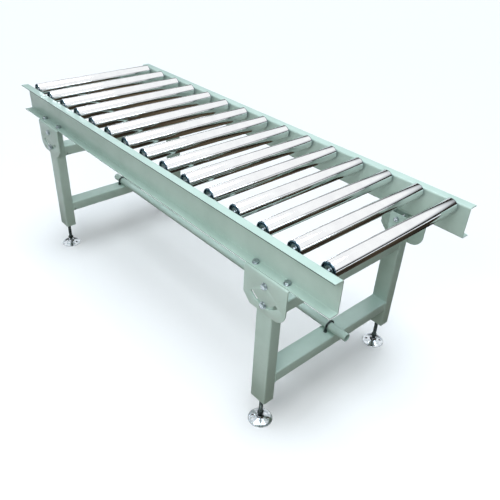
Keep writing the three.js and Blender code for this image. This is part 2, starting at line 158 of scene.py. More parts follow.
room = bpy.data.worlds.new("studio_room")
room.use_nodes = True
tree = room.node_tree
tree.nodes.clear()
rays = add(tree, "ShaderNodeLightPath")
direction = add(tree, "ShaderNodeTexCoord")
height = add(tree, "ShaderNodeSeparateXYZ", {"Vector": direction.outputs["Generated"]})
white = linear("#FFFFFF")
walls = ramp(tree, height.outputs["Z"], (0.0, linear("#2A2622")), (0.14, linear("#3A3632")),
             (0.22, linear("#C8CCD0")), (0.36, white))
mirrored = in_reflections(tree, rays)
seen = add(tree, "ShaderNodeBackground", {"Color": white, "Strength": 1.0})
in_metal = add(tree, "ShaderNodeBackground", {"Color": walls, "Strength": 1.0})
ambient = add(tree, "ShaderNodeBackground", {"Color": linear("#E6F1F5"), "Strength": 0.27})
by_metal = add(tree, "ShaderNodeMixShader", {0: mirrored.outputs[0], 1: ambient.outputs[0],
                                             2: in_metal.outputs[0]})
by_eye = add(tree, "ShaderNodeMixShader", {0: rays.outputs["Is Camera Ray"], 1: by_metal.outputs[0],
                                           2: seen.outputs[0]})
add(tree, "ShaderNodeOutputWorld", {"Surface": by_eye.outputs[0]})
scene.world = room


def aim(lamp, place, target):
    lamp.location = place
    lamp.rotation_euler = (Vector(target) - Vector(place)).to_track_quat("-Z", "Y").to_euler()
    scene.collection.objects.link(lamp)


overhead = bpy.data.lights.new("overhead_light", "SUN")
overhead.energy = 2.6
overhead.color = linear("#F1F8FF")[:3]
overhead.angle = math.radians(40)
aim(bpy.data.objects.new("overhead_light", overhead), (0, 0.1, 3.0), (0, 0, 0))

near_lamp = bpy.data.lights.new("near_lamp", "AREA")
near_lamp.shape = "RECTANGLE"
near_lamp.size = 1.6
near_lamp.size_y = 1.0
near_lamp.energy = 25
aim(bpy.data.objects.new("near_lamp", near_lamp), (1.4, -2.1, 2.3), (0.9, -0.35, 0.7))

# ---- Rails -------------------------------------------------------------------------------------------
# Two channels folded from 4 mm sheet steel with both flanges turned outward, punched for the axles, then
# sprayed and baked in pale sage green enamel. The holes for the bracket bolts are not cut.

rail_low, rail_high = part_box("rail_near")
flange_edge = -rail_low.y
web_inner = -rail_high.y
rail_top = rail_high.z
rail_bottom = rail_low.z
rail_end = rail_high.x
RAIL_SHEET = mm(4)
RAIL_BEND = mm(7)
EDGE_BREAK = mm(0.5)
AXLE_GAP = mm(0.3)


def paint_material(name, base, pale, worn):
    """Baked enamel: an even film with a faint orange-peel skin, cloudy with dust, dull in patches."""
    material = new_material(name)
    tree = material.node_tree
    place = add(tree, "ShaderNodeTexCoord").outputs["Object"]
    clouds = add(tree, "ShaderNodeTexNoise", {"Vector": place, "Scale": 1 / mm(170), "Detail": 5.0,
                                              "Roughness": 0.6})
    speckle = add(tree, "ShaderNodeTexNoise", {"Vector": place, "Scale": 1 / mm(9), "Detail": 6.0,
                                               "Roughness": 0.7})
    film = ramp(tree, clouds.outputs["Fac"], (0.32, linear(base)), (0.68, linear(pale)))
    dirt = ramp(tree, speckle.outputs["Fac"], (0.60, (0, 0, 0, 1)), (0.78, (0.30, 0.30, 0.30, 1)))
    colour = add(tree, "ShaderNodeMix", {"Factor": dirt, 6: film, 7: linear(worn)}, data_type="RGBA")
    roughness = add(tree, "ShaderNodeMapRange", {"Value": speckle.outputs["Fac"], "From Min": 0.3,
                                                 "From Max": 0.8, "To Min": 0.30, "To Max": 0.48})
    # Orange peel is about 1.5 mm across on a sprayed film.
    peel = add(tree, "ShaderNodeTexNoise", {"Vector": place, "Scale": 1 / mm(1.5), "Detail": 2.0})
    skin = add(tree, "ShaderNodeBump", {"Height": peel.outputs["Fac"], "Strength": 0.10,
                                        "Distance": mm(0.15)})
    shader = add(tree, "ShaderNodeBsdfPrincipled", {
        "Base Color": colour.outputs[2], "Roughness": roughness.outputs[0], "Normal": skin.outputs[0],
        "IOR": 1.5, "Coat Weight": 0.15, "Coat Roughness": 0.2})
    add(tree, "ShaderNodeOutputMaterial", {"Surface": shader.outputs[0]})
    return material


sage_enamel = paint_material("sage_green_baked_enamel", "#BAD4CA", "#C9E1D8", "#8C9F93")

# Painted shade: the top flange's outer edge gets a darker copy of the enamel, which draws a dark shadow
# line along the flange's lip.
painted_shade_edge_enamel = paint_material("enamel_with_painted_shade_on_flange_edge", "#5C776D", "#6C877C", "#46574F")


def to_piece(name, mesh, material, body, slot, *replaced, smooth_below=35):
    """Puts a mesh in the scene as a named piece that rides on a body."""
    obj = bpy.data.objects.new(name, mesh)
    scene.collection.objects.link(obj)
    mesh.materials.append(material)
    mesh.shade_smooth()
    mesh.set_sharp_from_angle(angle=math.radians(smooth_below))
    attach(obj, body)
    if replaced:
        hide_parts(*replaced)
    return obj


def mesh_of(bm, name):
    bmesh.ops.remove_doubles(bm, verts=bm.verts, dist=1e-6)
    bmesh.ops.recalc_face_normals(bm, faces=bm.faces)
    mesh = bpy.data.meshes.new(name)
    bm.to_mesh(mesh)
    bm.free()
    return mesh


def fillet(corners, steps=6):
    """A closed outline. Each corner is (a, b, radius), and its sharp point becomes an arc."""
    outline = []
    for i, (a, b, radius) in enumerate(corners):
        here = Vector((a, b))
        before = Vector(corners[i - 1][:2]) - here
        after = Vector(corners[(i + 1) % len(corners)][:2]) - here
        if not radius:
            outline.append(here)
            continue
        half = before.angle(after) / 2
        along = radius / math.tan(half)
        centre = here + (before.normalized() + after.normalized()).normalized() * radius / math.sin(half)
        start = here + before.normalized() * along - centre
        sweep = start.angle_signed(here + after.normalized() * along - centre)
        for step in range(steps + 1):
            outline.append(centre + Matrix.Rotation(-sweep * step / steps, 2) @ start)
    return outline


def circle(radius, steps, a=0.0, b=0.0, turn=0.0):
    angles = [2 * math.pi * i / steps + turn for i in range(steps)]
    return [Vector((a + radius * math.cos(t), b + radius * math.sin(t))) for t in angles]


def plate(name, outline, holes, depth, edge):
    """A flat plate in XY with softened edges, its thickness centred on Z = 0."""
    curve = bpy.data.curves.new(name, "CURVE")
    curve.dimensions = "2D"
    curve.fill_mode = "BOTH"
    curve.extrude = depth / 2 - edge
    curve.bevel_depth = edge
    curve.bevel_resolution = 1
    curve.offset = -edge
    for loop in [outline, *holes]:
        spline = curve.splines.new("POLY")
        spline.points.add(len(loop) - 1)
        for point, (a, b) in zip(spline.points, loop):
            point.co = (a, b, 0, 1)
        spline.use_cyclic_u = True
    holder = bpy.data.objects.new(name, curve)
    mesh = bpy.data.meshes.new_from_object(holder)
    bpy.data.objects.remove(holder)
    bpy.data.curves.remove(curve)
    bm = bmesh.new()
    bm.from_mesh(mesh)
    bpy.data.meshes.remove(mesh)
    bmesh.ops.remove_doubles(bm, verts=bm.verts, dist=1e-6)
    return bm


def joined(*parts):
    """Several bmeshes as one."""
    whole = parts[0]
    for part in parts[1:]:
        spare = bpy.data.meshes.new("part")
        part.to_mesh(spare)
        part.free()
        whole.from_mesh(spare)
        bpy.data.meshes.remove(spare)
    return whole


def cut(mesh, cutter):
    """Cuts one mesh out of another and returns the result."""
    kept = bpy.data.objects.new("kept", mesh)
    tool = bpy.data.objects.new("tool", cutter)
    scene.collection.objects.link(kept)
    scene.collection.objects.link(tool)
    boolean = kept.modifiers.new("cut", "BOOLEAN")
    boolean.operation = "DIFFERENCE"
    boolean.object = tool
    boolean.solver = "EXACT"
    result = bpy.data.meshes.new_from_object(kept.evaluated_get(bpy.context.evaluated_depsgraph_get()))
    bpy.data.objects.remove(kept)
    bpy.data.objects.remove(tool)
    bpy.data.meshes.remove(mesh)
    bpy.data.meshes.remove(cutter)
    return result


# Outline axes become (Y, Z), and the plate's depth becomes X.
ALONG_X = Matrix(((0, 0, 1, 0), (1, 0, 0, 0), (0, 1, 0, 0), (0, 0, 0, 1)))
# Outline axes become (X, Z), and the plate's depth becomes -Y.
ALONG_Y = Matrix(((1, 0, 0, 0), (0, 0, -1, 0), (0, 1, 0, 0), (0, 0, 0, 1)))

axle_nodes = sorted(name for name in nodes if name.startswith("axle_"))
axle_low, axle_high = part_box(axle_nodes[0])
axle_height = (axle_low.z + axle_high.z) / 2
axle_corner = (axle_high.z - axle_low.z) / 2
roller_xs = [(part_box(name)[0].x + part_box(name)[1].x) / 2 for name in axle_nodes]
web_outer = web_inner + RAIL_SHEET
inner_bend = RAIL_BEND - RAIL_SHEET

for side, edge in ((-1, "near"), (1, "far")):
    channel = fillet([
        (side * flange_edge, rail_bottom, 0),
        (side * web_inner, rail_bottom, RAIL_BEND),
        (side * web_inner, rail_top, RAIL_BEND),
        (side * flange_edge, rail_top, 0),
        (side * flange_edge, rail_top - RAIL_SHEET, 0),
        (side * web_outer, rail_top - RAIL_SHEET, inner_bend),
        (side * web_outer, rail_bottom + RAIL_SHEET, inner_bend),
        (side * flange_edge, rail_bottom + RAIL_SHEET, 0),
    ])
    bm = plate("rail", channel, [], 2 * rail_end, EDGE_BREAK)
    bm.transform(ALONG_X)
    punches = []
    for x in roller_xs:
        punch = plate("punch", circle(axle_corner + AXLE_GAP, 6, x, axle_height, math.pi / 2), [],
                      RAIL_SHEET * 4, EDGE_BREAK)
        punch.transform(Matrix.Translation((0, side * web_inner, 0)) @ ALONG_Y)
        punches.append(punch)
    rail = cut(mesh_of(bm, "rail"), mesh_of(joined(*punches), "punches"))
    to_piece(f"channel_{edge}", rail, sage_enamel, "bed", "green_paint", f"rail_{edge}")
    # The top flange's outer edge faces take the darker enamel, a painted shade line.
    rail.materials.append(painted_shade_edge_enamel)
    for face in rail.polygons:
        if abs(face.center.y) > flange_edge - EDGE_BREAK and face.center.z > rail_top - RAIL_SHEET:
            face.material_index = 1

# ---- Rollers -----------------------------------------------------------------------------------------
# Seamless steel tube, centreless ground and hard chromed, with a blued bearing cup pressed into each
# end. Grinding leaves faint rings round the tube. Fine scratches from loads along the conveyor are not
# drawn.

ROLLER_STEPS = 56
TUBE_WALL = mm(1.6)
END_ROUND = mm(0.6)
CUP_FLANGE = mm(3)


def chrome_material(name, colour, low, high):
    """Hard chrome over ground steel: a bright mirror with fine rings and a slight haze."""
    material = new_material(name)
    tree = material.node_tree
    place = add(tree, "ShaderNodeTexCoord").outputs["Object"]
    # Grinding rings are about 0.2 mm apart. They are drawn 2 mm apart so that they show.
    stretch = add(tree, "ShaderNodeMapping", {"Vector": place, "Scale": (1 / mm(60), 1 / mm(2),
                                                                         1 / mm(60))})
    rings = add(tree, "ShaderNodeTexNoise", {"Vector": stretch.outputs[0], "Scale": 1.0, "Detail": 4.0})
    haze = add(tree, "ShaderNodeTexNoise", {"Vector": place, "Scale": 1 / mm(45), "Detail": 4.0})
    mixed = add(tree, "ShaderNodeMath", {0: rings.outputs["Fac"], 1: haze.outputs["Fac"]},
                operation="MULTIPLY")
    roughness = add(tree, "ShaderNodeMapRange", {"Value": mixed.outputs[0], "From Min": 0.12,
                                                 "From Max": 0.40, "To Min": low, "To Max": high})
    tone = ramp(tree, haze.outputs["Fac"], (0.3, linear(colour)), (0.7, linear("#F8FAFB")))
    bump = add(tree, "ShaderNodeBump", {"Height": rings.outputs["Fac"], "Strength": 0.06,
                                        "Distance": mm(0.05)})
    shader = add(tree, "ShaderNodeBsdfPrincipled", {
        "Base Color": tone, "Metallic": 1.0, "Roughness": roughness.outputs[0],
        "Normal": bump.outputs[0]})
    add(tree, "ShaderNodeOutputMaterial", {"Surface": shader.outputs[0]})
    return material


roller_chrome = chrome_material("hard_chromed_ground_tube", "#F1F3F5", 0.05, 0.13)


def steel_material(name, base, shade, low, high, scale):
    """Plated or oiled steel hardware: a fine crystalline tone with rubbed patches."""
    material = new_material(name)
    tree = material.node_tree
    place = add(tree, "ShaderNodeTexCoord").outputs["Object"]
    patches = add(tree, "ShaderNodeTexNoise", {"Vector": place, "Scale": 1 / scale, "Detail": 6.0,
                                               "Roughness": 0.65})
    grain = add(tree, "ShaderNodeTexNoise", {"Vector": place, "Scale": 1 / mm(0.8), "Detail": 2.0})
    tone = ramp(tree, patches.outputs["Fac"], (0.35, linear(shade)), (0.65, linear(base)))
    roughness = add(tree, "ShaderNodeMapRange", {"Value": patches.outputs["Fac"], "From Min": 0.3,
                                                 "From Max": 0.7, "To Min": high, "To Max": low})
    bump = add(tree, "ShaderNodeBump", {"Height": grain.outputs["Fac"], "Strength": 0.12,
                                        "Distance": mm(0.08)})
    shader = add(tree, "ShaderNodeBsdfPrincipled", {
        "Base Color": tone, "Metallic": 1.0, "Roughness": roughness.outputs[0],
        "Normal": bump.outputs[0]})
    add(tree, "ShaderNodeOutputMaterial", {"Surface": shader.outputs[0]})
    return material


pressed_cup = steel_material("blued_pressed_cup", "#7F98AA", "#26323C", 0.14, 0.26, mm(7))
bearing_race = steel_material("polished_bearing_race", "#D8DEE2", "#A9B2B8", 0.14, 0.28, mm(5))
bright_zinc = steel_material("bright_zinc_plate", "#CFD7DB", "#8C969B", 0.18, 0.36, mm(6))


def lathe(profile, steps, closed=False):
    """Turns (radius, along) points about Z. A closed profile makes a ring."""
    bm = bmesh.new()
    loops = []
    for radius, along in profile:
        if radius == 0:
            loops.append([bm.verts.new((0, 0, along))])
        else:
            loops.append([bm.verts.new((a, b, along)) for a, b in circle(radius, steps)])
    if closed:
        loops.append(loops[0])
    for lower, upper in zip(loops, loops[1:]):
        for i in range(steps):
            j = (i + 1) % steps
            corners = [lower[i % len(lower)], lower[j % len(lower)], upper[j % len(upper)],
                       upper[i % len(upper)]]
            bm.faces.new(dict.fromkeys(corners))
    return bm


# A lathe's Z becomes Y.
Z_TO_Y = Matrix(((1, 0, 0, 0), (0, 0, 1, 0), (0, -1, 0, 0), (0, 0, 0, 1)))


def mirrored_pair(make, place):
    """The same turned part at both ends of a roller."""
    far = make()
    far.transform(Matrix.Translation((0, place, 0)) @ Z_TO_Y)
    near = make()
    near.transform(Matrix.Translation((0, -place, 0)) @ Matrix.Rotation(math.pi, 4, "X") @ Z_TO_Y)
    return joined(far, near)


roller_low, roller_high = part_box("roller_01")
roller_radius = (roller_high.z - roller_low.z) / 2
roller_half = roller_high.y
tube_bore = roller_radius - TUBE_WALL
tube_half = roller_half - CUP_FLANGE - mm(0.1)
tube_end = [(roller_radius, tube_half - END_ROUND),
            (roller_radius - END_ROUND / 3, tube_half - END_ROUND / 3),
            (roller_radius - END_ROUND, tube_half), (tube_bore, tube_half)]
tube_profile = tube_end + [(radius, -along) for radius, along in tube_end[::-1]]
bm = lathe(tube_profile, ROLLER_STEPS, closed=True)
bm.transform(Z_TO_Y)
tube_mesh = mesh_of(bm, "roller_tube")


def make_cup():
    """The pressed cup, as (radius, depth from the roller's end): a flange lipped over the tube, a groove
    and a raised hub round the bearing."""
    flange = roller_radius - mm(0.2)
    hub = flange - mm(12.6)
    steps = [(tube_bore - mm(0.2), -mm(12)), (tube_bore - mm(0.2), -CUP_FLANGE), (flange, -CUP_FLANGE),
             (flange, -mm(1.4)), (flange - mm(0.4), -mm(0.5)), (flange - mm(1.2), 0),
             (flange - mm(3.6), 0), (flange - mm(4.6), -mm(0.9)), (flange - mm(5.6), -mm(4.6)),
             (flange - mm(8.2), -mm(4.6)), (flange - mm(9.4), -mm(1.8)), (hub + mm(0.6), -mm(1.2)),
             (hub, -mm(1.9)), (hub, -mm(12))]
    return lathe(steps, ROLLER_STEPS, closed=True)


def make_race():
    """The bearing's inner ring and its shield, inside the cup's hub."""
    outer = roller_radius - mm(13)
    bore = axle_corner + AXLE_GAP
    face = -mm(3)
    steps = [(outer, face - mm(8)), (outer, face - mm(0.6)), (outer - mm(1.2), face - mm(1.2)),
             (bore + mm(1.8), face - mm(1.2)), (bore + mm(1.2), face + mm(0.4)), (bore, face + mm(0.4)),
             (bore, face - mm(8))]
    return lathe(steps, ROLLER_STEPS, closed=True)


cup_mesh = mesh_of(mirrored_pair(make_cup, roller_half), "bearing_cups")
race_mesh = mesh_of(mirrored_pair(make_race, roller_half), "bearing_races")

# The axle is a hexagonal bar with its ends chamfered, held in the hexagonal holes of both webs.
AXLE_CHAMFER = mm(1)
axle_half = axle_high.y
bar_ends = [(0, -axle_half), (axle_corner - AXLE_CHAMFER, -axle_half),
            (axle_corner, -axle_half + AXLE_CHAMFER), (axle_corner, axle_half - AXLE_CHAMFER),
            (axle_corner - AXLE_CHAMFER, axle_half), (0, axle_half)]
bm = lathe(bar_ends, 6)
bm.transform(Matrix.Rotation(math.pi / 2, 4, "Y") @ Z_TO_Y)
axle_mesh = mesh_of(bm, "axle_bar")

for index, x in enumerate(roller_xs):
    number = f"{index + 1:02d}"
    body = f"roller_{number}"
    for kind, mesh, material, slot, rides, replaced in (
            ("roller_tube", tube_mesh, roller_chrome, "chromed_tube", body, [f"roller_{number}"]),
            ("bearing_cups", cup_mesh, pressed_cup, "dark_steel", body, []),
            ("bearing_races", race_mesh, bearing_race, "zinc_steel", body, []),
            ("axle_bar", axle_mesh, bright_zinc, "zinc_steel", "bed", [f"axle_{number}"])):
        own = mesh.copy()
        own.transform(Matrix.Translation((x, 0, axle_height)))
        to_piece(f"{kind}_{number}", own, material, rides, slot, *replaced)

# ---- Stands ------------------------------------------------------------------------------------------
# Each stand is four lengths of rectangular steel tube welded into an H: two open-topped legs with a
# plate in the foot, and two crossbars whose fillet welds were painted over with the rest.

LEG_WIDTH = mm(75)
LEG_DEPTH = mm(50)
TUBE_SHEET = mm(3)
TUBE_CORNER = mm(6)
WELD = mm(5)
CROSSBAR_HEIGHT = mm(50)
LOWER_CROSSBAR_RISE = mm(85)
UPPER_CROSSBAR_DROP = mm(98)
VENT_RADIUS = mm(4)
VENT_INSET = mm(9)
FOOT_PLATE = mm(5)
FOOT_PLATE_RISE = mm(3)
STUD_RADIUS = mm(8)
STUD_GAP = mm(0.4)


def rounded_box(a, b, radius):
    """An outline a wide and b deep, centred, with round corners."""
    a, b = a / 2, b / 2
    return fillet([(-a, -b, radius), (a, -b, radius), (a, b, radius), (-a, b, radius)])


def square_tube(width, depth, low, high, place):
    """An upright rectangular tube."""
    inner = rounded_box(width - 2 * TUBE_SHEET, depth - 2 * TUBE_SHEET, TUBE_CORNER - TUBE_SHEET)
    bm = plate("tube", rounded_box(width, depth, TUBE_CORNER), [inner], high - low, EDGE_BREAK)
    bm.transform(Matrix.Translation((*place, (low + high) / 2)))
    return bm


def weld_bead(path, radius):
    """A wavy fillet weld along a closed path of points, with a ripple about every 9 mm."""
    bm = bmesh.new()
    spacing = mm(3)
    points = []
    for start, end in zip(path, path[1:] + path[:1]):
        count = max(2, round((end - start).length / spacing))
        points += [start.lerp(end, i / count) for i in range(count)]
    rings = []
    for i, point in enumerate(points):
        along = (points[(i + 1) % len(points)] - points[i - 1]).normalized()
        out = along.cross(Vector((0, 1, 0))).normalized()
        size = radius * (1 + 0.14 * math.sin(i * 2.1) + 0.06 * math.sin(i * 0.7))
        ring = []
        for step in range(8):
            angle = 2 * math.pi * step / 8
            offset = out * math.cos(angle) + Vector((0, math.sin(angle), 0))
            ring.append(bm.verts.new(point + offset * size))
        rings.append(ring)
    for i, ring in enumerate(rings):
        following = rings[(i + 1) % len(rings)]
        for step in range(8):
            nxt = (step + 1) % 8
            bm.faces.new((ring[step], ring[nxt], following[nxt], following[step]))
    return bm


leg_outer = flange_edge
leg_inner = leg_outer - LEG_DEPTH
leg_bore = rounded_box(LEG_WIDTH - 2 * TUBE_SHEET, LEG_DEPTH - 2 * TUBE_SHEET, TUBE_CORNER - TUBE_SHEET)

for place, sign in (("front", 1), ("back", -1)):
    low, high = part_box(f"stand_{place}")
    middle = (low.x + high.x) / 2
    pieces = []
    for side in (-1, 1):
        leg_y = side * (leg_outer - LEG_DEPTH / 2)
        pieces.append(square_tube(LEG_WIDTH, LEG_DEPTH, low.z, high.z, (middle, leg_y)))
        foot_plate = plate("foot_plate", leg_bore, [circle(STUD_RADIUS + STUD_GAP, 24)], FOOT_PLATE,
                           EDGE_BREAK)
        foot_plate.transform(Matrix.Translation((middle, leg_y, low.z + FOOT_PLATE_RISE)))
        pieces.append(foot_plate)
    beads = []
    for bottom in (low.z + LOWER_CROSSBAR_RISE, high.z - UPPER_CROSSBAR_DROP - CROSSBAR_HEIGHT):
        height_middle = bottom + CROSSBAR_HEIGHT / 2
        inner = rounded_box(LEG_WIDTH - 2 * TUBE_SHEET, CROSSBAR_HEIGHT - 2 * TUBE_SHEET,
                            TUBE_CORNER - TUBE_SHEET)
        bar = plate("crossbar", rounded_box(LEG_WIDTH, CROSSBAR_HEIGHT, TUBE_CORNER), [inner],
                    2 * leg_inner, EDGE_BREAK)
        bar.transform(Matrix.Translation((middle, 0, height_middle)) @ ALONG_Y)
        vents = []
        for side in (-1, 1):
            vent = plate("vent", circle(VENT_RADIUS, 20), [], LEG_WIDTH / 2, EDGE_BREAK)
            vent.transform(Matrix.Translation((middle - sign * LEG_WIDTH / 2,
                                               side * (leg_inner - VENT_INSET), bottom + VENT_INSET))
                           @ ALONG_X)
            vents.append(vent)
        bar_mesh = cut(mesh_of(bar, "crossbar"), mesh_of(joined(*vents), "vents"))
        bar = bmesh.new()
        bar.from_mesh(bar_mesh)
        bpy.data.meshes.remove(bar_mesh)
        pieces.append(bar)
        for side in (-1, 1):
            path = [Vector((middle + a * 0.985, side * leg_inner, height_middle + b * 0.97))
                    for a, b in rounded_box(LEG_WIDTH, CROSSBAR_HEIGHT, TUBE_CORNER)]
            beads.append(weld_bead(path, WELD / 2))
    to_piece(f"h_stand_{place}", mesh_of(joined(*pieces), "stand"), sage_enamel, f"stand_{place}",
             "green_paint", f"stand_{place}")
    to_piece(f"stand_welds_{place}", mesh_of(joined(*beads), "welds"), sage_enamel, f"stand_{place}",
             "green_paint")

# ---- Brackets ----------------------------------------------------------------------------------------
# Folded 5 mm steel angles under the rails. The upright plate has a pivot hole, a long arc slot for the
# lock bolt, one lower corner cut off and the other rounded. They carry the same enamel as the rails.

bracket_low, bracket_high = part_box("bracket_front_near")
bracket_middle = (bracket_low.x + bracket_high.x) / 2
bracket_half = (bracket_high.x - bracket_low.x) / 2
pivot_low, pivot_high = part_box("pivot_bolt_front_near")
lock_low, lock_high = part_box("lock_bolt_front_near")
pivot_height = (pivot_low.z + pivot_high.z) / 2
lock_height = (lock_low.z + lock_high.z) / 2
slot_radius = pivot_height - lock_height
BRACKET_SHEET = mm(5)
BRACKET_FOLD = mm(8)
SLOT_HALF_ANGLE = math.radians(46)
SLOT_HALF_WIDTH = mm(6.3)
BOLT_RADIUS = mm(6)
BOLT_GAP = mm(0.3)
CUT_CORNER = mm(34)
ROUND_CORNER = mm(50)
outer_face = -bracket_low.y
reach = -bracket_high.y


def arc_slot():
    """A slot of constant width on an arc about the pivot."""
    points = []
    steps = 24
    for radius, direction in ((slot_radius + SLOT_HALF_WIDTH, 1), (slot_radius - SLOT_HALF_WIDTH, -1)):
        for i in range(steps + 1):
            angle = -math.pi / 2 + direction * SLOT_HALF_ANGLE * (2 * i / steps - 1)
            points.append(Vector((radius * math.cos(angle), radius * math.sin(angle))))
        end = -math.pi / 2 + direction * SLOT_HALF_ANGLE
        centre = Vector((slot_radius * math.cos(end), slot_radius * math.sin(end)))
        for i in range(1, 8):
            turn = (end if direction > 0 else end + math.pi) + math.pi * i / 8
            points.append(centre + SLOT_HALF_WIDTH * Vector((math.cos(turn), math.sin(turn))))
    return points


for place, sign in (("front", 1), ("back", -1)):
    for side, edge in ((-1, "near"), (1, "far")):
        top = bracket_high.z - pivot_height
        bottom = bracket_low.z - pivot_height
        outline = fillet([
            (-bracket_half, top - BRACKET_FOLD, 0),
            (-bracket_half, bottom + CUT_CORNER, mm(12)),
            (-bracket_half + CUT_CORNER, bottom, mm(12)),
            (bracket_half, bottom, ROUND_CORNER),
            (bracket_half, top - BRACKET_FOLD, 0)], steps=10)
        outline = [Vector((sign * a, b)) for a, b in outline]
        slot = arc_slot()
        hole = circle(BOLT_RADIUS + BOLT_GAP, 32)
        upright = plate("bracket", outline, [slot, hole], BRACKET_SHEET, EDGE_BREAK)
        plate_middle = side * (outer_face - BRACKET_SHEET / 2)
        upright.transform(Matrix.Translation((sign * bracket_middle, plate_middle, pivot_height)) @ ALONG_Y)
        fold = fillet([
            (side * outer_face, bracket_high.z - BRACKET_FOLD, 0),
            (side * outer_face, bracket_high.z, BRACKET_FOLD - mm(0.5)),
            (side * reach, bracket_high.z, 0),
            (side * reach, bracket_high.z - BRACKET_SHEET, 0),
            (side * (outer_face - BRACKET_SHEET), bracket_high.z - BRACKET_SHEET, mm(2.5)),
            (side * (outer_face - BRACKET_SHEET), bracket_high.z - BRACKET_FOLD, 0)])
        flange = plate("flange", fold, [], 2 * bracket_half, EDGE_BREAK)
        flange.transform(Matrix.Translation((sign * bracket_middle, 0, 0)) @ ALONG_X)
        to_piece(f"pivot_bracket_{place}_{edge}", mesh_of(joined(upright, flange), "bracket"), sage_enamel,
                 "bed", "green_paint", f"bracket_{place}_{edge}")

# ---- Bolts -------------------------------------------------------------------------------------------
# Zinc-plated hexagon bolts with chamfered heads and plain washers: a pivot bolt and a lock bolt at each
# leg, and two bolts down through each rail flange into its bracket, with nuts below.

WASHER_RADIUS = mm(13)
WASHER_SHEET = mm(2.5)
HEAD_FLATS = mm(19)
HEAD_HEIGHT = mm(7.5)
NUT_HEIGHT = mm(10)
THREAD_PITCH = mm(1.75)
HEAD_TURNS = {"pivot_bolt": math.radians(17), "lock_bolt": math.radians(-8)}


def skin(bm, loops, closed=False):
    """Joins loops of vertices that have the same count, and caps the two ends unless they are joined."""
    steps = len(loops[0])
    for lower, upper in zip(loops, loops[1:] + (loops[:1] if closed else [])):
        for i in range(steps):
            j = (i + 1) % steps
            bm.faces.new((lower[i], lower[j], upper[j], upper[i]))
    if not closed:
        bm.faces.new(loops[0][::-1])
        bm.faces.new(loops[-1])
    return bm


def hexagon_block(flats, low, high, bore=0.0):
    """A bolt head or a nut: a hexagon whose corners are turned down at 30 degrees at both faces."""
    bm = bmesh.new()
    steps = 36
    face = flats / 2 * 0.96
    slope = math.tan(math.radians(30))
    around = [2 * math.pi * i / steps for i in range(steps)]
    outer = [flats / 2 / math.cos(t % (math.pi / 3) - math.pi / 6) for t in around]

    def loop(radii, heights):
        return [bm.verts.new((r * math.cos(t), r * math.sin(t), z))
                for r, z, t in zip(radii, heights, around)]

    loops = [loop([face] * steps, [low] * steps),
             loop(outer, [low + (r - face) * slope for r in outer]),
             loop(outer, [high - (r - face) * slope for r in outer]),
             loop([face] * steps, [high] * steps)]
    if bore:
        loops.append(loop([bore] * steps, [high] * steps))
        loops.append(loop([bore] * steps, [low] * steps))
    return skin(bm, loops, closed=bool(bore))


def threaded_rod(radius, low, high, pitch, steps=20):
    """A rod with its thread drawn as ring grooves, not a helix, closed at both ends."""
    bm = bmesh.new()
    depth = pitch * 0.55
    count = max(2, round((high - low) / pitch * 2))
    loops = []
    for ring in range(count + 1):
        along = low + (high - low) * ring / count
        inset = depth if ring % 2 or ring in (0, count) else 0.0
        loops.append([bm.verts.new((a, b, along)) for a, b in circle(radius - inset, steps)])
    return skin(bm, loops)


def washer(low):
    edge = mm(0.4)
    high = low + WASHER_SHEET
    return lathe([(BOLT_RADIUS + BOLT_GAP, low), (WASHER_RADIUS - edge, low), (WASHER_RADIUS, low + edge),
                  (WASHER_RADIUS, high - edge), (WASHER_RADIUS - edge, high),
                  (BOLT_RADIUS + BOLT_GAP, high)], 40, closed=True)


def bolt_set(under_head, nut_face, tail):
    """Along Z with the head up: head and washer above under_head, nut below nut_face, rod to tail."""
    head_low = under_head + WASHER_SHEET
    head = lathe([(0, head_low), (HEAD_FLATS / 2, head_low), (HEAD_FLATS / 2, head_low + mm(0.4)),
                  (0, head_low + mm(0.4))], 40)
    return joined(washer(under_head), head,
                  hexagon_block(HEAD_FLATS, head_low + mm(0.4), head_low + HEAD_HEIGHT),
                  threaded_rod(BOLT_RADIUS, tail, head_low, THREAD_PITCH),
                  hexagon_block(HEAD_FLATS, nut_face - NUT_HEIGHT, nut_face, BOLT_RADIUS))


for place, sign in (("front", 1), ("back", -1)):
    for side, edge in ((-1, "near"), (1, "far")):
        for kind, turn in HEAD_TURNS.items():
            low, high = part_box(f"{kind}_{place}_{edge}")
            outside = max(abs(low.y), abs(high.y))
            inside = min(abs(low.y), abs(high.y))
            under_head = outside - HEAD_HEIGHT - WASHER_SHEET
            bm = bolt_set(under_head, inside + mm(3) + NUT_HEIGHT, inside)
            spin = Matrix.Rotation(turn, 4, "Z")
            upright = Z_TO_Y if side > 0 else Matrix.Rotation(math.pi, 4, "X") @ Z_TO_Y
            centre = Vector(((low.x + high.x) / 2, 0, (low.z + high.z) / 2))
            bm.transform(Matrix.Translation(centre) @ upright @ spin)
            to_piece(f"hexagon_{kind}_{place}_{edge}", mesh_of(bm, kind), bright_zinc, f"stand_{place}",
                     "zinc_steel", f"{kind}_{place}_{edge}")

RAIL_BOLT_SPREAD = mm(73)
RAIL_BOLT_INSET = mm(19)
for place, sign in (("front", 1), ("back", -1)):
    for side, edge in ((-1, "near"), (1, "far")):
        for shift, which in ((-1, "a"), (1, "b")):
            flange_top = rail_bottom + RAIL_SHEET + mm(0.2)
            nut_face = bracket_high.z - BRACKET_SHEET - mm(0.2)
            bm = bolt_set(flange_top, nut_face, nut_face - NUT_HEIGHT - mm(3))
            x = sign * bracket_middle + shift * RAIL_BOLT_SPREAD
            spin = Matrix.Rotation(math.radians(23 * shift + 9 * sign), 4, "Z")
            bm.transform(Matrix.Translation((x, side * (flange_edge - RAIL_BOLT_INSET), 0)) @ spin)
            to_piece(f"rail_bolt_{place}_{edge}_{which}", mesh_of(bm, "rail_bolt"), bright_zinc, "bed",
                     "zinc_steel")

# ---- Tie tube and U-bolts ----------------------------------------------------------------------------
# A plain round steel tube in the same enamel ties the two stands together low down. A bent rod with
# nuts, left dark and oily, clamps it to each lower crossbar.

